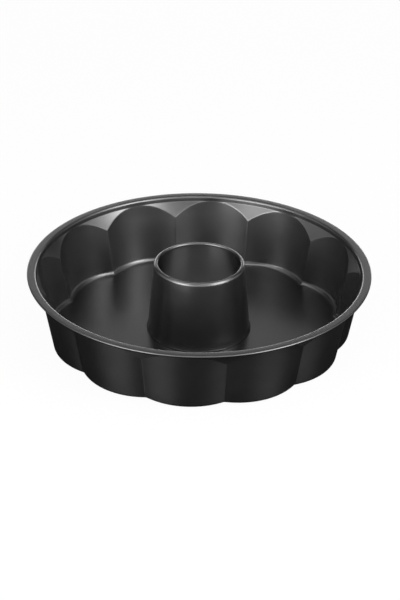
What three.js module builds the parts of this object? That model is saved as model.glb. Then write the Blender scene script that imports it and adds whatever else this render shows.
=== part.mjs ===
// Fluted ring cake pan: a deep-drawn, scalloped sheet-steel pan with a separate tapered centre tube.
// The tube's foot bead seats on the pan floor, and its skirt is clinched under the floor's hole.
// Millimetres, +Z up. The origin is on the pan's axis, in the plane that it stands on.
import * as THREE from "three";

// Sheet and seam
const sheet = 0.5; // thickness of the steel in both pressings
const seamClearance = 0.12; // between the tube and the floor, all round the clinched joint

// Rim
const rimDiameter = 280;
const rimHeight = 57; // top of the rim above the table
const rimOverhang = 7.8; // from the foot of the collar out to the edge of the rim
const rimBendInside = 0.7; // inside radius of the bend from the collar out to the flat rim
const collarDepth = 4.5; // from the rim's top down to the shoulder
const hemGap = 0.5; // between the rim and the leaf that is turned under it
const hemReturn = 3.5; // length of that leaf

// Fluted wall
const lobeCount = 12;
const lobeRadius = 62; // each lobe is part of an upright cone, this wide at the collar's foot
const wallDraft = THREE.MathUtils.degToRad(9.8);
const shoulderSlope = THREE.MathUtils.degToRad(31.1); // from upright, between the flutes' tops
const floorFillet = 4;

// Floor
const restWidth = 12; // flat ring that the pan stands on, at the ridges between the flutes
const landMargin = 4; // flat land round the clinched joint

// Centre tube
const tubeHeight = 61.9; // top of the rolled edge above the table
const tubeTopDiameter = 74.8;
const tubeFootDiameter = 84.6; // at the floor
const tubeRollInside = 1.06; // inside radius of the rolled top edge
const tubeRollTurn = THREE.MathUtils.degToRad(285); // where the roll ends, from the tube's outside
const footBeadInside = 0.5; // inside radius of the bead that sits on the floor
const clinchWidth = 3; // how far the skirt is turned out under the floor
const clinchLift = 0.4; // from the table up to the clinch, which the raised floor keeps clear of it

// Facets
const stepsPerLobe = 9; // odd, so that no section lies where the arch and the collar touch in one point
const tubeSteps = 60;
const filletSteps = 4;
const wallSteps = 2;
const bendSteps = 3;
const hemSteps = 5;
const rollSteps = 10;
const beadSteps = 5;

const draftRun = Math.tan(wallDraft);
const slopeRun = Math.tan(shoulderSlope);

const coating = { color: 0x2b2b2d, roughness: 0.38, metalness: 0.35 };

// Points on an arc in the radius-height plane, from one angle to another
function arc(centreR, centreZ, radius, from, to, steps) {
  const points = [];
  for (let i = 0; i <= steps; i++) {
    const angle = THREE.MathUtils.lerp(from, to, i / steps);
    const r = centreR + radius * Math.cos(angle);
    const z = centreZ + radius * Math.sin(angle);
    points.push(new THREE.Vector2(r, z));
  }
  return points;
}

// A path moved sideways, to the right of its direction, with mitred corners
function offsetPath(path, distance) {
  const normals = path.slice(1).map((point, i) => {
    const along = point.clone().sub(path[i]).normalize();
    return new THREE.Vector2(along.y, -along.x);
  });
  return path.map((point, i) => {
    const before = normals[Math.max(i - 1, 0)];
    const after = normals[Math.min(i, normals.length - 1)];
    const mitre = before.clone().add(after);
    return point.clone().addScaledVector(mitre, distance / (1 + before.dot(after)));
  });
}

// Closed loops set round the axis, joined into one ring-shaped solid
function loftRound(loops) {
  const count = loops[0].length;
  const positions = loops.flat().flatMap((p) => [p.x, p.y, p.z]);
  const index = [];
  loops.forEach((_, i) => {
    const here = i * count;
    const next = ((i + 1) % loops.length) * count;
    for (let j = 0; j < count; j++) {
      const k = (j + 1) % count;
      index.push(here + j, here + k, next + k, here + j, next + k, next + j);
    }
  });
  const geometry = new THREE.BufferGeometry();
  geometry.setAttribute("position", new THREE.Float32BufferAttribute(positions, 3));
  geometry.setIndex(index);
  geometry.computeVertexNormals();
  return geometry;
}

// Centre tube
// Its outer face is one path, from the edge of the clinch up to the end of the rolled top edge.
const clinchTop = clinchLift + sheet;
const floorTop = clinchTop + seamClearance + sheet; // the floor's upper face beside the tube
const tubeFootRadius = tubeFootDiameter / 2;
const rollRadius = tubeRollInside + sheet;
const rollCentre = new THREE.Vector2(tubeTopDiameter / 2 - rollRadius, tubeHeight - rollRadius);
const footToRoll = rollCentre.clone().sub(new THREE.Vector2(tubeFootRadius, floorTop));
const footLean = Math.atan2(-footToRoll.x, footToRoll.y);
const tubeDraft = footLean - Math.asin(rollRadius / footToRoll.length()); // the wall is tangent to the roll

const footBeadRadius = footBeadInside + sheet;
const neckRadius = tubeFootRadius - footBeadRadius; // outside of the skirt in the floor's hole
const holeRadius = neckRadius + seamClearance;
const clinchRadius = holeRadius + clinchWidth;
const beadCentre = new THREE.Vector2(tubeFootRadius, floorTop + seamClearance + footBeadRadius);

function tubeProfile() {
  const beadTop = Math.PI / 2 + tubeDraft;
  const outer = [
    new THREE.Vector2(clinchRadius, clinchTop),
    new THREE.Vector2(neckRadius, clinchTop),
    new THREE.Vector2(neckRadius, beadCentre.y - footBeadRadius),
    ...arc(beadCentre.x, beadCentre.y, footBeadRadius, -Math.PI / 2, beadTop, beadSteps),
    ...arc(rollCentre.x, rollCentre.y, rollRadius, tubeDraft, tubeRollTurn, rollSteps),
  ];
  const inner = offsetPath(outer, -sheet);
  return [...outer, ...inner.reverse()];
}

function centreTube() {
  const profile = tubeProfile();
  const geometry = new THREE.LatheGeometry([...profile, profile[0]], tubeSteps);
  geometry.rotateX(Math.PI / 2); // from three.js's +Y axis of revolution to +Z
  const mesh = new THREE.Mesh(geometry, new THREE.MeshStandardMaterial(coating));
  mesh.name = "centre_tube";
  return mesh;
}

// Fluted pan
// Depth is measured into the sheet from its upper, food-side face: 0 there, the sheet's thickness below.
const rimRadius = rimDiameter / 2;
const collarRadius = rimRadius - rimOverhang;
const collarFoot = rimHeight - collarDepth;
const lobeAxisRadius = collarRadius - lobeRadius; // circle that the lobes' axes stand on
const lobeRadiusAtFloor = lobeRadius - (collarFoot - sheet) * draftRun;
const halfLobe = Math.PI / lobeCount;
const filletInset = (floorFillet * (1 - Math.sin(wallDraft))) / Math.cos(wallDraft);
const hemRadius = sheet + hemGap / 2;
const landRadius = clinchRadius + landMargin;

// Distance from the pan's axis to a lobe of this radius, at an angle from the middle of the lobe
function lobeReach(angle, radius) {
  const aside = lobeAxisRadius * Math.sin(angle);
  return lobeAxisRadius * Math.cos(angle) + Math.sqrt(radius ** 2 - aside ** 2);
}

const restInner = lobeReach(halfLobe, lobeRadiusAtFloor - filletInset) - restWidth;

// How far below the collar's foot a lobe's wall meets the sloping shoulder: the line of a pointed arch
function archDrop(angle, depth) {
  const across = collarRadius + depth / Math.cos(shoulderSlope) - lobeAxisRadius * Math.cos(angle);
  const aside = lobeAxisRadius * Math.sin(angle);
  const lobe = lobeRadius + depth / Math.cos(wallDraft);
  const a = slopeRun ** 2 - draftRun ** 2;
  const b = across * slopeRun - lobe * draftRun;
  const c = across ** 2 + aside ** 2 - lobe ** 2;
  return (b - Math.sqrt(b ** 2 - a * c)) / a;
}

// One face of the sheet, from the floor's hole to the end of the hem, at an angle from a lobe's middle
function panFace(angle, depth) {
  const wallReach = (z) =>
    lobeReach(angle, lobeRadiusAtFloor + (z - sheet) * draftRun + depth / Math.cos(wallDraft));
  const filletRadius = floorFillet + depth;
  const fillet = arc(-filletInset, sheet + floorFillet, filletRadius, -Math.PI / 2, -wallDraft, filletSteps);
  const arch = collarFoot - archDrop(angle, depth);
  const collarDrop = archDrop(0, depth);
  const bendRadius = rimBendInside + sheet;
  const bendHeight = rimHeight - bendRadius;
  const collarTop = collarRadius + (bendHeight - collarFoot) * draftRun;
  const bendReach = collarTop + bendRadius / Math.cos(wallDraft);
  const hemReach = rimRadius - hemRadius;
  const hemHeight = rimHeight - hemRadius;

  const points = [
    new THREE.Vector2(holeRadius, floorTop - depth),
    new THREE.Vector2(landRadius, floorTop - depth),
    new THREE.Vector2(restInner, sheet - depth),
    ...fillet.map((p) => new THREE.Vector2(lobeReach(angle, lobeRadiusAtFloor + p.x), p.y)),
  ];
  const wallFoot = points[points.length - 1].y;
  for (let i = 1; i <= wallSteps; i++) {
    const z = THREE.MathUtils.lerp(wallFoot, arch, i / wallSteps);
    points.push(new THREE.Vector2(wallReach(z), z));
  }
  points.push(
    new THREE.Vector2(
      collarRadius - collarDrop * draftRun + depth / Math.cos(wallDraft),
      collarFoot - collarDrop,
    ),
    ...arc(bendReach, bendHeight, bendRadius - depth, Math.PI - wallDraft, Math.PI / 2, bendSteps),
    ...arc(hemReach, hemHeight, hemRadius - depth, Math.PI / 2, -Math.PI / 2, hemSteps),
    new THREE.Vector2(hemReach - hemReturn, hemHeight - hemRadius + depth),
  );
  return points;
}

function flutedPan() {
  const sections = lobeCount * stepsPerLobe;
  const loops = [];
  for (let i = 0; i < sections; i++) {
    const step = i % stepsPerLobe;
    const fromLobeAxis = THREE.MathUtils.lerp(-halfLobe, halfLobe, step / stepsPerLobe);
    const turn = 2 * halfLobe * Math.floor(i / stepsPerLobe) + fromLobeAxis;
    const loop = [...panFace(fromLobeAxis, 0), ...panFace(fromLobeAxis, sheet).reverse()];
    loops.push(loop.map((p) => new THREE.Vector3(p.x * Math.cos(turn), p.x * Math.sin(turn), p.y)));
  }
  const mesh = new THREE.Mesh(loftRound(loops), new THREE.MeshStandardMaterial(coating));
  mesh.name = "fluted_pan";
  return mesh;
}

const pan = new THREE.Group();
pan.add(flutedPan(), centreTube());

export default pan;
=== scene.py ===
import math

import bmesh
import bpy
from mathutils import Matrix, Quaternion, Vector


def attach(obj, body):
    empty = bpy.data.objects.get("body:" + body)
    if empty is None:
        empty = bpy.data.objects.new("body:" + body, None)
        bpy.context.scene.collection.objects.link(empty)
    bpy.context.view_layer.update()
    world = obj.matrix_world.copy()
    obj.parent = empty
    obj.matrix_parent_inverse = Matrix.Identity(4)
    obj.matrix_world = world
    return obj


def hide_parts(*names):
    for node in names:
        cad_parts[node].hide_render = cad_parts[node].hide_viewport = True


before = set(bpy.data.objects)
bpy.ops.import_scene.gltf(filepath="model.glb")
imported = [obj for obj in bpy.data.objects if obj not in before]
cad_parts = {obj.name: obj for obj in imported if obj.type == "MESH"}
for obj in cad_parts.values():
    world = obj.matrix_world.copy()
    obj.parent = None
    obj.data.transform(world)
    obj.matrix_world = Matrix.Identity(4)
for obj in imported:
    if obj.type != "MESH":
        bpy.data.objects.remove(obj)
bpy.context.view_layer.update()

mm = 0.001  # the sizes in the dictionaries are millimetres, Blender works in metres
print("frame loaded")


# Helpers

def deselectAll():
    if bpy.context.object and bpy.context.object.mode != "OBJECT":
        bpy.ops.object.mode_set(mode="OBJECT")
    bpy.ops.object.select_all(action="DESELECT")


def mix(a, b, t):
    return a + (b - a) * t


def ease(t):
    return t * t * (3 - 2 * t)


def blendUp(a, b, blend):  # the larger of two, with the corner between them rounded
    return (a + b) / 2 + math.hypot((a - b) / 2, blend)


def blendDown(a, b, blend):  # the smaller of two, rounded in the same way
    return (a + b) / 2 - math.hypot((a - b) / 2, blend)


def ovalPoints(centre, width, height, start, end, steps):
    points = []
    for i in range(steps + 1):
        angle = math.radians(mix(start, end, i / steps))
        points.append((centre[0] + width * math.cos(angle), centre[1] + height * math.sin(angle)))
    return points


def arcPoints(centre, radius, start, end, steps):
    return ovalPoints(centre, radius, radius, start, end, steps)


def placeRing(obj, ringAt):
    # each selected point keeps its angle round the axis and takes its radius and height from the ring
    mesh = bmesh.from_edit_mesh(obj.data)
    for vert in mesh.verts:
        if vert.select:
            angle = math.atan2(vert.co.y, vert.co.x)
            radius, height = ringAt(angle)
            vert.co = (radius * math.cos(angle) * mm, radius * math.sin(angle) * mm, height * mm)
    bmesh.update_edit_mesh(obj.data)


def flipNormals():
    bpy.ops.object.mode_set(mode="EDIT")
    bpy.ops.mesh.flip_normals()
    bpy.ops.object.mode_set(mode="OBJECT")


cutEdge = {
    "bevel": 0.1,
    "segments": 2,
    "angle": 55,  # degrees; only the sheet's cut edges are this sharp
    "smooth": 40,  # below this angle the shading is smooth
}


def thicken(obj, sheet):
    # the sheet grows to the back of the modelled face, and its cut edges are eased
    solidify = obj.modifiers.new("sheet", "SOLIDIFY")
    solidify.thickness = sheet * mm
    solidify.offset = -1
    solidify.use_even_offset = True
    solidify.use_quality_normals = True
    solidify.material_offset = 1  # the back takes the second coating
    edges = obj.modifiers.new("edges", "BEVEL")
    edges.width = cutEdge["bevel"] * mm
    edges.segments = cutEdge["segments"]
    edges.limit_method = "ANGLE"
    edges.angle_limit = math.radians(cutEdge["angle"])
    bpy.context.view_layer.objects.active = obj
    for modifier in list(obj.modifiers):
        bpy.ops.object.modifier_apply(modifier=modifier.name)
    bpy.ops.object.shade_smooth_by_angle(angle=math.radians(cutEdge["smooth"]))


def mathNode(tree, operation, a, b, clamp=False):
    # a and b are numbers or the outputs of other nodes
    node = tree.nodes.new("ShaderNodeMath")
    node.operation = operation
    node.use_clamp = clamp
    for socket, value in zip(node.inputs, (a, b)):
        if isinstance(value, bpy.types.NodeSocket):
            tree.links.new(value, socket)
        else:
            socket.default_value = value
    return node.outputs[0]


def smoothRange(tree, value, low, high, lowest=0):
    # rises smoothly to 1 while the value goes from low to high, both in mm
    node = tree.nodes.new("ShaderNodeMapRange")
    node.interpolation_type = "SMOOTHSTEP"
    node.inputs["From Min"].default_value = low * mm
    node.inputs["From Max"].default_value = high * mm
    node.inputs["To Min"].default_value = lowest
    tree.links.new(value, node.inputs["Value"])
    return node.outputs["Result"]


# Non-stick coating: dark grey, satin, with a faint grain

inside = {
    "colour": (0.17, 0.17, 0.17),
    "mottle": 0.1,
    "metallic": 1,
    "roughness": 0.295,
    "spread": 0.04,
    "drawn": 0.07,  # the drawn wall is this much rougher than the floor and the rim
    "paintedWallShade": 0.14,  # and darker by this share, which is painted shade on the wall
    "anisotropy": 0,
    "grain": 0.02,
}

outside = {  # the back of the pan's sheet, with faint drawing marks round the axis
    # far darker than the inside coating's colour though the coating is the same: painted shade
    "colour": (0.07, 0.07, 0.07),
    "mottle": 0.12,
    "metallic": 1,
    "roughness": 0.43,
    "spread": 0.05,
    "drawn": 0,
    "paintedWallShade": 0,
    "anisotropy": 0.85,
    "grain": 0.02,
}

tubeOuter = {  # drawn deeper than the pan, so a little rougher
    "colour": (0.178, 0.178, 0.178),
    "mottle": 0.1,
    "metallic": 1,
    "roughness": 0.32,
    "spread": 0.04,
    "drawn": 0,
    "paintedWallShade": 0,
    "anisotropy": 0.25,
    "grain": 0.02,
}

tubeBore = {
    # lighter than the outside coating's colour though the bore is the same face of the sheet: painted light
    "colour": (0.2, 0.2, 0.2),
    "mottle": 0.12,
    "metallic": 1,
    "roughness": 0.32,
    "spread": 0.04,
    "drawn": 0,
    "paintedWallShade": 0,
    "anisotropy": 0.88,
    "grain": 0.02,
}

texture = {
    "mottleScale": 60,  # for each metre, so patches of about 17 mm
    "grainScale": 500,  # and grain of about 2 mm
    "grainHeight": 0.1,
    "wallStarts": (2, 9),  # heights between which the floor gives way to the drawn wall
    "wallEnds": (38, 51),  # and the wall to the shoulder and rim
    "markTurn": 0.25,  # a quarter turn, so that marks round the axis spread highlights upwards
}


def noiseNode(tree, place, scale):
    noise = tree.nodes.new("ShaderNodeTexNoise")
    noise.inputs["Scale"].default_value = scale
    noise.inputs["Detail"].default_value = 1
    tree.links.new(place, noise.inputs["Vector"])
    return noise.outputs["Fac"]


def grainGroup():
    group = bpy.data.node_groups.new("coating grain", "ShaderNodeTree")
    group.interface.new_socket("Colour", in_out="INPUT", socket_type="NodeSocketColor")
    for name in ("Mottle", "Roughness", "Spread", "Drawn", "Painted Wall Shade"):
        group.interface.new_socket(name, in_out="INPUT", socket_type="NodeSocketFloat")
    group.interface.new_socket("Colour", in_out="OUTPUT", socket_type="NodeSocketColor")
    for name in ("Roughness", "Height"):
        group.interface.new_socket(name, in_out="OUTPUT", socket_type="NodeSocketFloat")
    nodes, links = group.nodes, group.links
    source = nodes.new("NodeGroupInput").outputs
    result = nodes.new("NodeGroupOutput").inputs
    place = nodes.new("ShaderNodeTexCoord").outputs["Object"]
    broad = noiseNode(group, place, texture["mottleScale"])
    fine = noiseNode(group, place, texture["grainScale"])
    axes = nodes.new("ShaderNodeSeparateXYZ")
    links.new(place, axes.inputs["Vector"])

    wallStart = smoothRange(group, axes.outputs["Z"], *texture["wallStarts"])
    wallEnd = smoothRange(group, axes.outputs["Z"], *texture["wallEnds"])
    wall = mathNode(group, "SUBTRACT", wallStart, wallEnd)
    # painted shade: the wall's colour is made darker by this share
    paintedShade = mathNode(group, "MULTIPLY", wall, source["Painted Wall Shade"])
    rougher = mathNode(group, "MULTIPLY", wall, source["Drawn"])
    centred = mathNode(group, "SUBTRACT", broad, 0.5)
    mottle = mathNode(group, "MULTIPLY", centred, source["Mottle"])
    gain = mathNode(group, "ADD", mathNode(group, "SUBTRACT", 1, paintedShade), mottle)
    tint = nodes.new("ShaderNodeVectorMath")
    tint.operation = "SCALE"
    links.new(source["Colour"], tint.inputs[0])
    links.new(gain, tint.inputs["Scale"])
    patches = mathNode(group, "MULTIPLY", centred, source["Spread"])
    patchy = mathNode(group, "ADD", source["Roughness"], patches)
    links.new(tint.outputs["Vector"], result["Colour"])
    links.new(mathNode(group, "ADD", patchy, rougher), result["Roughness"])
    links.new(fine, result["Height"])
    return group


coatingGrain = grainGroup()


def coating(name, finish):
    material = bpy.data.materials.new(name)
    material.use_nodes = True
    nodes, links = material.node_tree.nodes, material.node_tree.links
    shader = nodes["Principled BSDF"]
    grain = nodes.new("ShaderNodeGroup")
    grain.node_tree = coatingGrain
    grain.inputs["Colour"].default_value = (*finish["colour"], 1)
    grain.inputs["Mottle"].default_value = finish["mottle"]
    grain.inputs["Roughness"].default_value = finish["roughness"]
    grain.inputs["Spread"].default_value = finish["spread"]
    grain.inputs["Drawn"].default_value = finish["drawn"]
    grain.inputs["Painted Wall Shade"].default_value = finish["paintedWallShade"]
    bump = nodes.new("ShaderNodeBump")
    bump.inputs["Strength"].default_value = finish["grain"]
    bump.inputs["Distance"].default_value = texture["grainHeight"] * mm
    links.new(grain.outputs["Height"], bump.inputs["Height"])
    links.new(grain.outputs["Colour"], shader.inputs["Base Color"])
    links.new(grain.outputs["Roughness"], shader.inputs["Roughness"])
    links.new(bump.outputs["Normal"], shader.inputs["Normal"])
    shader.inputs["Metallic"].default_value = finish["metallic"]
    if finish["anisotropy"]:
        shader.inputs["Anisotropic"].default_value = finish["anisotropy"]
        shader.inputs["Anisotropic Rotation"].default_value = texture["markTurn"]
        around = nodes.new("ShaderNodeTangent")
        around.direction_type = "RADIAL"
        around.axis = "Z"
        links.new(around.outputs["Tangent"], shader.inputs["Tangent"])
    return material


insideCoating = coating("inside coating", inside)
outsideCoating = coating("outside coating", outside)
tubeCoating = coating("tube coating", tubeOuter)
boreCoating = coating("bore coating", tubeBore)
print("coating done")


# Fluted pan: floor, flutes, shoulder, collar and hemmed rim, all drawn from one sheet

pan = {
    "sheet": 0.5,
    "rimDiameter": 280,
    "rimHeight": 57,
    "rimOverhang": 7.8,  # from the foot of the collar to the rim's edge
    "rimBend": 2,  # radius on the upper face
    "collarDepth": 4.5,
    "hemRadius": 0.9,
    "hemReturn": 3.5,
    "lobes": 12,
    "lobeRadius": 60.7,  # at the collar's foot
    "lobeProud": 0.25,  # the flutes' middles stand this far out from the collar and run up into it
    "wallDraft": 9.8,  # degrees from upright
    "shoulderSlope": 31.1,
    "floorFillet": 4.7,
    "holeRadius": 41.42,
    "holeEdge": 0.6,  # width of the first ring of faces beside the hole
    "landRadius": 48.4,  # of the flat land round the tube's foot
    "floorRise": 1.02,  # of that land above the flat rest
    "restWidth": 12,  # of the flat rest, at the ridges between the flutes
    "ridgeRadius": 1.1,  # rounding of the upright ridges between the flutes
    "ridgeShare": 0.132,  # its depth for each mm of radius: the lobes meet at about 20 degrees to the circle
    "archBlend": 0.06,  # rounding of the arches, as a depth
    "archTop": 0.8,  # over a flute's middle the arch line stays this far below the collar's foot
    "footBlend": 0.02,  # rounding of the collar's foot, as a depth
    "columns": 15,  # steps from a ridge to the middle of a flute
    "crowding": 1.7,  # how closely they crowd towards the ridge
    "wallCrowding": 2.3,  # how closely the wall's rings crowd towards the arch
    "rings": {"floor": 12, "fillet": 10, "wall": 12, "shoulder": 12, "bend": 8, "hem": 12},
    "restShares": (0.35, 0.7, 0.93, 1),  # rings on the flat rest, from its inner edge to the fillet
    "footShare": 0.995,  # one ring close below the collar's foot
    "collarRises": (0.06, 0.25, 0.6, 1, 1.5, 2),  # rings above it
}

rimRadius = pan["rimDiameter"] / 2
collarRadius = rimRadius - pan["rimOverhang"]
collarFoot = pan["rimHeight"] - pan["collarDepth"]
draft = math.radians(pan["wallDraft"])
draftRun = math.tan(draft)
slopeRun = math.tan(math.radians(pan["shoulderSlope"]))
halfLobe = math.pi / pan["lobes"]
lobeAxis = collarRadius + pan["lobeProud"] - pan["lobeRadius"]
lobeAtFloor = pan["lobeRadius"] - (collarFoot - pan["sheet"]) * draftRun
filletInset = pan["floorFillet"] * (1 - math.sin(draft)) / math.cos(draft)


def fromFlute(angle):  # angle from the middle of the nearest flute
    return abs((angle + halfLobe) % (2 * halfLobe) - halfLobe)


def lobeReach(angle, radius):
    aside = lobeAxis * math.sin(angle)
    return lobeAxis * math.cos(angle) + math.sqrt(max(radius * radius - aside * aside, 0))


def outlineAt(angle, radius, ridgeRadius):
    # from the pan's axis to the fluted outline, with the ridge between two lobes rounded
    turn = fromFlute(angle)
    blend = pan["ridgeShare"] * ridgeRadius
    return blendUp(lobeReach(turn, radius), lobeReach(2 * halfLobe - turn, radius), blend)


def wallAt(angle, height):
    lobe = lobeAtFloor + (height - pan["sheet"]) * draftRun
    flutes = outlineAt(angle, lobe, pan["ridgeRadius"])
    drop = collarFoot - height
    collar = collarRadius - drop * draftRun
    shoulder = blendDown(collarRadius - drop * slopeRun, collar, pan["footBlend"])
    return blendUp(flutes, shoulder, pan["archBlend"])


def archAt(angle):
    # height of the line where a flute meets the shoulder: a pointed arch over each ridge
    turn = fromFlute(angle)
    across = collarRadius - lobeAxis * math.cos(turn)
    a = slopeRun ** 2 - draftRun ** 2
    b = across * slopeRun - pan["lobeRadius"] * draftRun
    c = across ** 2 + (lobeAxis * math.sin(turn)) ** 2 - pan["lobeRadius"] ** 2
    drop = (b - math.sqrt(b * b - a * c)) / a
    return collarFoot - max(drop, pan["archTop"])


def crowdColumns(angle):
    # evenly spaced columns move towards the ridges, where the form is tightest
    turn = (angle + halfLobe) % (2 * halfLobe) - halfLobe
    share = 1 - (1 - abs(turn) / halfLobe) ** pan["crowding"]
    return angle - turn + math.copysign(share * halfLobe, turn)


def panRings():
    # from the hole's edge out to the end of the hem; a ring gives its radius and height at an angle
    count = pan["rings"]
    rings = []

    def plain(radius, height):
        rings.append(lambda angle: (radius, height))

    floorTop = pan["sheet"] + pan["floorRise"]
    restInner = lobeReach(halfLobe, lobeAtFloor - filletInset) - pan["restWidth"]
    plain(pan["holeRadius"], floorTop)
    plain(pan["holeRadius"] + pan["holeEdge"], floorTop)
    for i in range(count["floor"] + 1):
        share = i / count["floor"]
        plain(mix(pan["landRadius"], restInner, share), floorTop - pan["floorRise"] * ease(share))

    def rest(share):
        def ringAt(angle):
            fluted = outlineAt(angle, lobeAtFloor - filletInset, pan["ridgeRadius"] + filletInset)
            return mix(restInner, fluted, share), pan["sheet"]
        return ringAt

    def fillet(across, height):
        tight = pan["ridgeRadius"] - across
        return lambda angle: (outlineAt(angle, lobeAtFloor + across, tight), height)

    rings.extend(rest(share) for share in pan["restShares"])
    centre = (-filletInset, pan["sheet"] + pan["floorFillet"])
    curve = arcPoints(centre, pan["floorFillet"], -90, -pan["wallDraft"], count["fillet"])
    rings.extend(fillet(across, height) for across, height in curve[1:])
    wallFoot = curve[-1][1]

    def wall(share):
        def ringAt(angle):
            height = mix(wallFoot, archAt(angle), share)
            return wallAt(angle, height), height
        return ringAt

    def shoulder(share):
        def ringAt(angle):
            height = mix(archAt(angle), collarFoot, share)
            return wallAt(angle, height), height
        return ringAt

    for i in range(1, count["wall"] + 1):
        rings.append(wall(1 - (1 - i / count["wall"]) ** pan["wallCrowding"]))
    for i in range(1, count["shoulder"]):
        rings.append(shoulder(ease(i / count["shoulder"])))
    rings.append(shoulder(pan["footShare"]))
    rings.append(shoulder(1))

    def collar(radius, height):
        # round at the rim, and lower down it takes in the flutes' middles
        rise = height - collarFoot

        def ringAt(angle):
            proud = wallAt(angle, height) - collarRadius - rise * draftRun
            return radius + proud * (1 - ease(rise / pan["collarDepth"])), height
        return ringAt

    for rise in pan["collarRises"]:
        rings.append(collar(collarRadius + rise * draftRun, collarFoot + rise))
    bendHeight = pan["rimHeight"] - pan["rimBend"]
    bendReach = collarRadius + (bendHeight - collarFoot) * draftRun + pan["rimBend"] / math.cos(draft)
    bend = arcPoints((bendReach, bendHeight), pan["rimBend"], 180 - pan["wallDraft"], 90, count["bend"])
    rings.extend(collar(radius, height) for radius, height in bend)
    hem = (rimRadius - pan["hemRadius"], pan["rimHeight"] - pan["hemRadius"])
    plain(mix(bendReach, hem[0], 0.5), pan["rimHeight"])
    for radius, height in arcPoints(hem, pan["hemRadius"], 90, -90, count["hem"]):
        plain(radius, height)
    plain(hem[0] - pan["hemReturn"] / 2, hem[1] - pan["hemRadius"])
    plain(hem[0] - pan["hemReturn"], hem[1] - pan["hemRadius"])
    return rings


def buildPan():
    deselectAll()
    hole = pan["holeRadius"]
    steps = 2 * pan["columns"] * pan["lobes"]
    bpy.ops.mesh.primitive_circle_add(vertices=steps, radius=hole * mm)
    obj = bpy.context.object
    obj.name = "flutedPan"
    bpy.ops.object.mode_set(mode="EDIT")
    bpy.ops.mesh.select_all(action="SELECT")
    mesh = bmesh.from_edit_mesh(obj.data)
    for vert in mesh.verts:
        angle = crowdColumns(math.atan2(vert.co.y, vert.co.x))
        vert.co = (hole * math.cos(angle) * mm, hole * math.sin(angle) * mm, 0)
    bmesh.update_edit_mesh(obj.data)
    for i, ringAt in enumerate(panRings()):
        if i:
            bpy.ops.mesh.extrude_region_move()
        placeRing(obj, ringAt)
    bpy.ops.mesh.select_all(action="SELECT")
    bpy.ops.mesh.normals_make_consistent(inside=False)
    bpy.ops.object.mode_set(mode="OBJECT")
    floorFace = min(obj.data.polygons, key=lambda face: face.center.xy.length)
    if floorFace.normal.z < 0:
        flipNormals()
    obj.data.materials.append(insideCoating)
    obj.data.materials.append(outsideCoating)
    thicken(obj, pan["sheet"])
    return obj


flutedPan = buildPan()
print("fluted pan:", len(flutedPan.data.polygons), "faces")


# Centre tube: tapered, its top edge rolled inwards, its foot clinched through the floor

tube = {
    "sheet": 0.5,
    "height": 61.5,
    "topDiameter": 74.8,
    "footDiameter": 84.6,
    "shoulder": (2.5, 3.2),  # width and height of the top edge's round outer side
    "shoulderStart": 8,  # degrees above level, where the wall runs into it
    "lip": (1.2, 1.6),  # width and height of the top edge's inner side
    "lipDepth": 0.3,  # straight part of the turned-in lip
    "lipCurl": 0.6,
    "lipCurlEnd": 330,  # degrees
    "flareHeight": 8,  # the wall spreads a little above the foot bead
    "flareCurve": 3,  # how quickly the flare dies out
    "flareCrowding": 1.5,  # how closely its points crowd towards the bead
    "beadRadius": 0.4,
    "beadReach": 0.95,  # beyond the wall
    "beadEnd": 48,  # degrees above level, where the bead runs into the flare
    "footHeight": 1.64,  # underside of the foot bead, which sits on the floor
    "neckRadius": 41.3,
    "neckFillet": 0.25,
    "clinchRadius": 44.42,
    "clinchTop": 0.9,
    "clinchEdge": 0.4,
    "points": {"fillet": 5, "bead": 8, "flare": 14, "wall": 8, "shoulder": 16, "lip": 10, "curl": 8},
    "steps": 160,
    "weld": 0.01,
}


def tubeProfile():
    # the outer face, from the edge of the clinch to the curled end of the lip
    count = tube["points"]
    clinch, clinchTop, foot = tube["clinchRadius"], tube["clinchTop"], tube["footHeight"]
    corner = tube["neckFillet"]
    bead = tube["beadRadius"]
    wallRadius = tube["footDiameter"] / 2
    neck = tube["neckRadius"] + corner
    points = [(clinch, clinchTop), (clinch - tube["clinchEdge"], clinchTop)]
    points += arcPoints((neck, clinchTop + corner), corner, -90, -180, count["fillet"])
    points += arcPoints((neck, foot - corner), corner, 180, 90, count["fillet"])
    beadCentre = (wallRadius + tube["beadReach"] - bead, foot + bead)
    points += arcPoints(beadCentre, bead, -90, tube["beadEnd"], count["bead"])

    shoulder = (tube["topDiameter"] / 2 - tube["shoulder"][0], tube["height"] - tube["shoulder"][1])
    rolled = ovalPoints(shoulder, *tube["shoulder"], tube["shoulderStart"], 90, count["shoulder"])
    slope = (rolled[0][0] - wallRadius) / (rolled[0][1] - foot)
    flare = points[-1]
    spread = flare[0] - wallRadius - slope * (flare[1] - foot)
    for i in range(1, count["flare"] + 1):
        rise = (i / count["flare"]) ** tube["flareCrowding"]
        height = flare[1] + tube["flareHeight"] * rise
        flared = spread * (1 - rise) ** tube["flareCurve"]
        points.append((wallRadius + slope * (height - foot) + flared, height))
    wallFoot = points[-1]
    for i in range(1, count["wall"]):
        share = i / count["wall"]
        points.append((mix(wallFoot[0], rolled[0][0], share), mix(wallFoot[1], rolled[0][1], share)))
    points += rolled

    lip = (shoulder[0], tube["height"] - tube["lip"][1])
    points += ovalPoints(lip, *tube["lip"], 90, 180, count["lip"])[1:]
    lipFoot = (lip[0] - tube["lip"][0], lip[1] - tube["lipDepth"])
    points.append((lipFoot[0], mix(lip[1], lipFoot[1], 0.5)))
    curl = (lipFoot[0] + tube["lipCurl"], lipFoot[1])
    points += arcPoints(curl, tube["lipCurl"], 180, tube["lipCurlEnd"], count["curl"])
    return points


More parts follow.
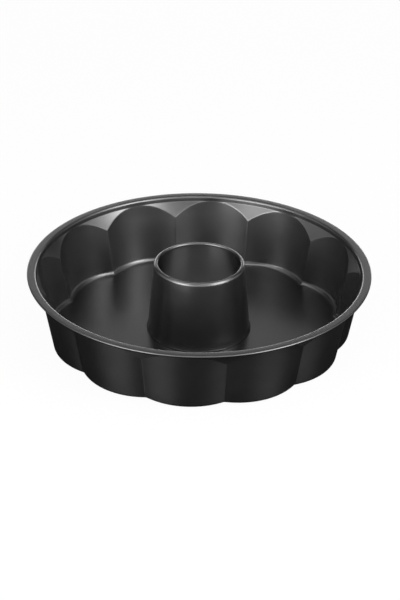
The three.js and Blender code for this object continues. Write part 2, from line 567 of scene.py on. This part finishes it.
def buildTube():
    deselectAll()
    points = tubeProfile()
    bpy.ops.mesh.primitive_plane_add(size=mm)
    obj = bpy.context.object
    obj.name = "centreTube"
    bpy.ops.object.mode_set(mode="EDIT")
    bpy.ops.mesh.select_all(action="SELECT")
    bpy.ops.mesh.merge(type="CENTER")
    bpy.ops.transform.translate(value=(points[0][0] * mm, 0, points[0][1] * mm))
    for before, after in zip(points, points[1:]):
        step = ((after[0] - before[0]) * mm, 0, (after[1] - before[1]) * mm)
        bpy.ops.mesh.extrude_region_move(TRANSFORM_OT_translate={"value": step})
    bpy.ops.mesh.select_all(action="SELECT")
    bpy.ops.mesh.spin(steps=tube["steps"], angle=math.tau, center=(0, 0, 0), axis=(0, 0, 1))
    bpy.ops.mesh.select_all(action="SELECT")
    bpy.ops.mesh.remove_doubles(threshold=tube["weld"] * mm)
    bpy.ops.mesh.normals_make_consistent(inside=False)
    bpy.ops.object.mode_set(mode="OBJECT")
    halfway = tube["height"] / 2 * mm
    wallFace = min(obj.data.polygons, key=lambda face: abs(face.center.z - halfway))
    if wallFace.normal.xy.dot(wallFace.center.xy) < 0:
        flipNormals()
    obj.data.materials.append(tubeCoating)
    obj.data.materials.append(boreCoating)
    thicken(obj, tube["sheet"])
    return obj


centreTube = buildTube()
print("centre tube:", len(centreTube.data.polygons), "faces")


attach(flutedPan, "root")
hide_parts("fluted_pan")
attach(centreTube, "root")
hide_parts("centre_tube")


# Floor, lamps and camera

view = {
    "azimuth": 4.93,  # degrees; the camera stands in front and a little to the right of a flute
    "elevation": 29.43,
    "distance": 1316.7,
    "aside": 0.9,  # of the aimed point, to the right
    "height": 26.12,
    "roll": 0.664,
    "lens": 95.75,
    "clip": (50, 30000),
}

# Angles are degrees from the camera's side and from the floor, and a level is the lamp's brightness
lamps = {
    "left": {"azimuth": -38, "elevation": 19, "size": (710, 450), "level": 6.5},
    "leftLow": {"azimuth": -40, "elevation": 7, "size": (1080, 240), "level": 5},
    "leftUp": {"azimuth": -40, "elevation": 33, "size": (920, 320), "level": 2.2},
    "leftWing": {"azimuth": -62, "elevation": 19, "size": (450, 450), "level": 4.4},
    "leftHigh": {"azimuth": -55, "elevation": 48, "size": (730, 420), "level": 1.1},
    "leftTop": {"azimuth": -45, "elevation": 66, "size": (440, 480), "level": 2.4},
    "leftTopSide": {"azimuth": -90, "elevation": 62, "size": (510, 480), "level": 1.4},
    "leftTopBack": {"azimuth": -130, "elevation": 58, "size": (580, 530), "level": 0.6},
    "leftSide": {"azimuth": -92, "elevation": 14, "size": (1060, 640), "level": 0.6},
    "leftSideUp": {"azimuth": -90, "elevation": 38, "size": (860, 580), "level": 0.3},
    "right": {"azimuth": 50, "elevation": 26, "size": (980, 420), "level": 5.6},
    "rightLow": {"azimuth": 50, "elevation": 12, "size": (1070, 320), "level": 2.3},
    "rightUp": {"azimuth": 42, "elevation": 43, "size": (390, 480), "level": 2.8},
    "rightUpWing": {"azimuth": 62, "elevation": 43, "size": (390, 480), "level": 6.8},
    "rightWing": {"azimuth": 80, "elevation": 30, "size": (460, 690), "level": 1.2},
    "rightTop": {"azimuth": 40, "elevation": 62, "size": (510, 530), "level": 2.2},
    "rightTopSide": {"azimuth": 85, "elevation": 60, "size": (620, 530), "level": 2.4},
    "rightTopBack": {"azimuth": 125, "elevation": 60, "size": (550, 530), "level": 0.7},
    "rightSide": {"azimuth": 100, "elevation": 14, "size": (780, 640), "level": 0.6},
    "front": {"azimuth": 5, "elevation": 17, "size": (1340, 370), "level": 2.2},
    "frontUp": {"azimuth": 0, "elevation": 32, "size": (930, 370), "level": 1.2},
    "top": {"azimuth": 0, "elevation": 80, "size": (270, 530), "level": 3.6},
    "backLow": {"azimuth": 180, "elevation": 7, "size": (2080, 260), "level": 4.5},
    "back": {"azimuth": 180, "elevation": 26, "size": (1890, 750), "level": 0.45},
    "backUp": {"azimuth": 180, "elevation": 50, "size": (1110, 480), "level": 0.15},
}

lampDistance = 1500
worldLevel = 0.02

ground = {
    "size": 8000,
    "drop": 0.2,  # below the pan's rest, so that the two don't share a plane
    "colour": (0.86, 0.86, 0.86),
    "roughness": 0.9,
    "gloss": 0.1,
    "white": 0.95,  # share of plain white as the camera sees it; the rest keeps the shadow
    "dark": 0.03,  # painted shade for reflections: they see the floor dark near the pan, and white farther off
    "inner": 320,
    "outer": 900,
    "under": 90,  # nearer than this, below the pan, they see the lit floor itself
}


def direction(azimuth, elevation):  # azimuth is from the camera's side, to the right
    turn = math.radians(view["azimuth"] + azimuth)
    rise = math.radians(elevation)
    return Vector((math.sin(turn) * math.cos(rise), -math.cos(turn) * math.cos(rise), math.sin(rise)))


def floorMaterial():
    material = bpy.data.materials.new("floor")
    material.use_nodes = True
    tree = material.node_tree
    nodes, links = tree.nodes, tree.links
    shader = nodes["Principled BSDF"]
    shader.inputs["Base Color"].default_value = (*ground["colour"], 1)
    shader.inputs["Roughness"].default_value = ground["roughness"]
    shader.inputs["Specular IOR Level"].default_value = ground["gloss"]
    white = nodes.new("ShaderNodeEmission")
    path = nodes.new("ShaderNodeLightPath").outputs
    coords = nodes.new("ShaderNodeTexCoord")
    away = nodes.new("ShaderNodeVectorMath")
    away.operation = "LENGTH"
    links.new(coords.outputs["Object"], away.inputs[0])
    reach = away.outputs["Value"]

    def clamped(operation, a, b):
        return mathNode(tree, operation, a, b, clamp=True)

    # reflections near the pan see this painted shade, a faint glow in place of the shadow round it
    fade = smoothRange(tree, reach, ground["inner"], ground["outer"], ground["dark"])
    links.new(clamped("MAXIMUM", path["Is Camera Ray"], fade), white.inputs["Strength"])
    seen = clamped("MULTIPLY", path["Is Camera Ray"], ground["white"])
    mirrored = clamped("ADD", path["Is Glossy Ray"], path["Is Transmission Ray"])
    outer = clamped("GREATER_THAN", reach, ground["under"] * mm)
    masked = clamped("MAXIMUM", seen, clamped("MULTIPLY", mirrored, outer))
    blend = nodes.new("ShaderNodeMixShader")
    links.new(masked, blend.inputs["Fac"])
    links.new(shader.outputs["BSDF"], blend.inputs[1])
    links.new(white.outputs["Emission"], blend.inputs[2])
    links.new(blend.outputs["Shader"], nodes["Material Output"].inputs["Surface"])
    return material


def addFloor():
    deselectAll()
    bpy.ops.mesh.primitive_plane_add(size=ground["size"] * mm, location=(0, 0, -ground["drop"] * mm))
    floor = bpy.context.object
    floor.name = "floor"
    floor.data.materials.append(floorMaterial())


def addLamp(name, lamp):
    data = bpy.data.lights.new(name, "AREA")
    data.shape = "RECTANGLE"
    data.size, data.size_y = lamp["size"][0] * mm, lamp["size"][1] * mm
    data.energy = lamp["level"] * math.pi * data.size * data.size_y
    obj = bpy.data.objects.new(name, data)
    bpy.context.scene.collection.objects.link(obj)
    away = direction(lamp["azimuth"], lamp["elevation"])
    obj.location = away * lampDistance * mm
    obj.rotation_mode = "QUATERNION"
    obj.rotation_quaternion = (-away).to_track_quat("-Z", "Y")


def addCamera():
    data = bpy.data.cameras.new("camera")
    data.lens = view["lens"]
    data.clip_start, data.clip_end = view["clip"][0] * mm, view["clip"][1] * mm
    camera = bpy.data.objects.new("camera", data)
    bpy.context.scene.collection.objects.link(camera)
    turn = math.radians(view["azimuth"])
    aside = view["aside"]
    aim = Vector((aside * math.cos(turn), aside * math.sin(turn), view["height"])) * mm
    back = direction(0, view["elevation"])
    camera.location = aim + back * view["distance"] * mm
    camera.rotation_mode = "QUATERNION"
    roll = Quaternion((0, 0, 1), math.radians(view["roll"]))
    camera.rotation_quaternion = (-back).to_track_quat("-Z", "Y") @ roll
    bpy.context.scene.camera = camera


def addWorld():
    world = bpy.data.worlds.new("studio")
    bpy.context.scene.world = world
    world.use_nodes = True
    background = world.node_tree.nodes["Background"]
    background.inputs["Color"].default_value = (worldLevel, worldLevel, worldLevel, 1)


addFloor()
for lampName, lamp in lamps.items():
    addLamp(lampName, lamp)
addCamera()
addWorld()
bpy.context.scene.view_settings.view_transform = "Standard"
print("stage done")
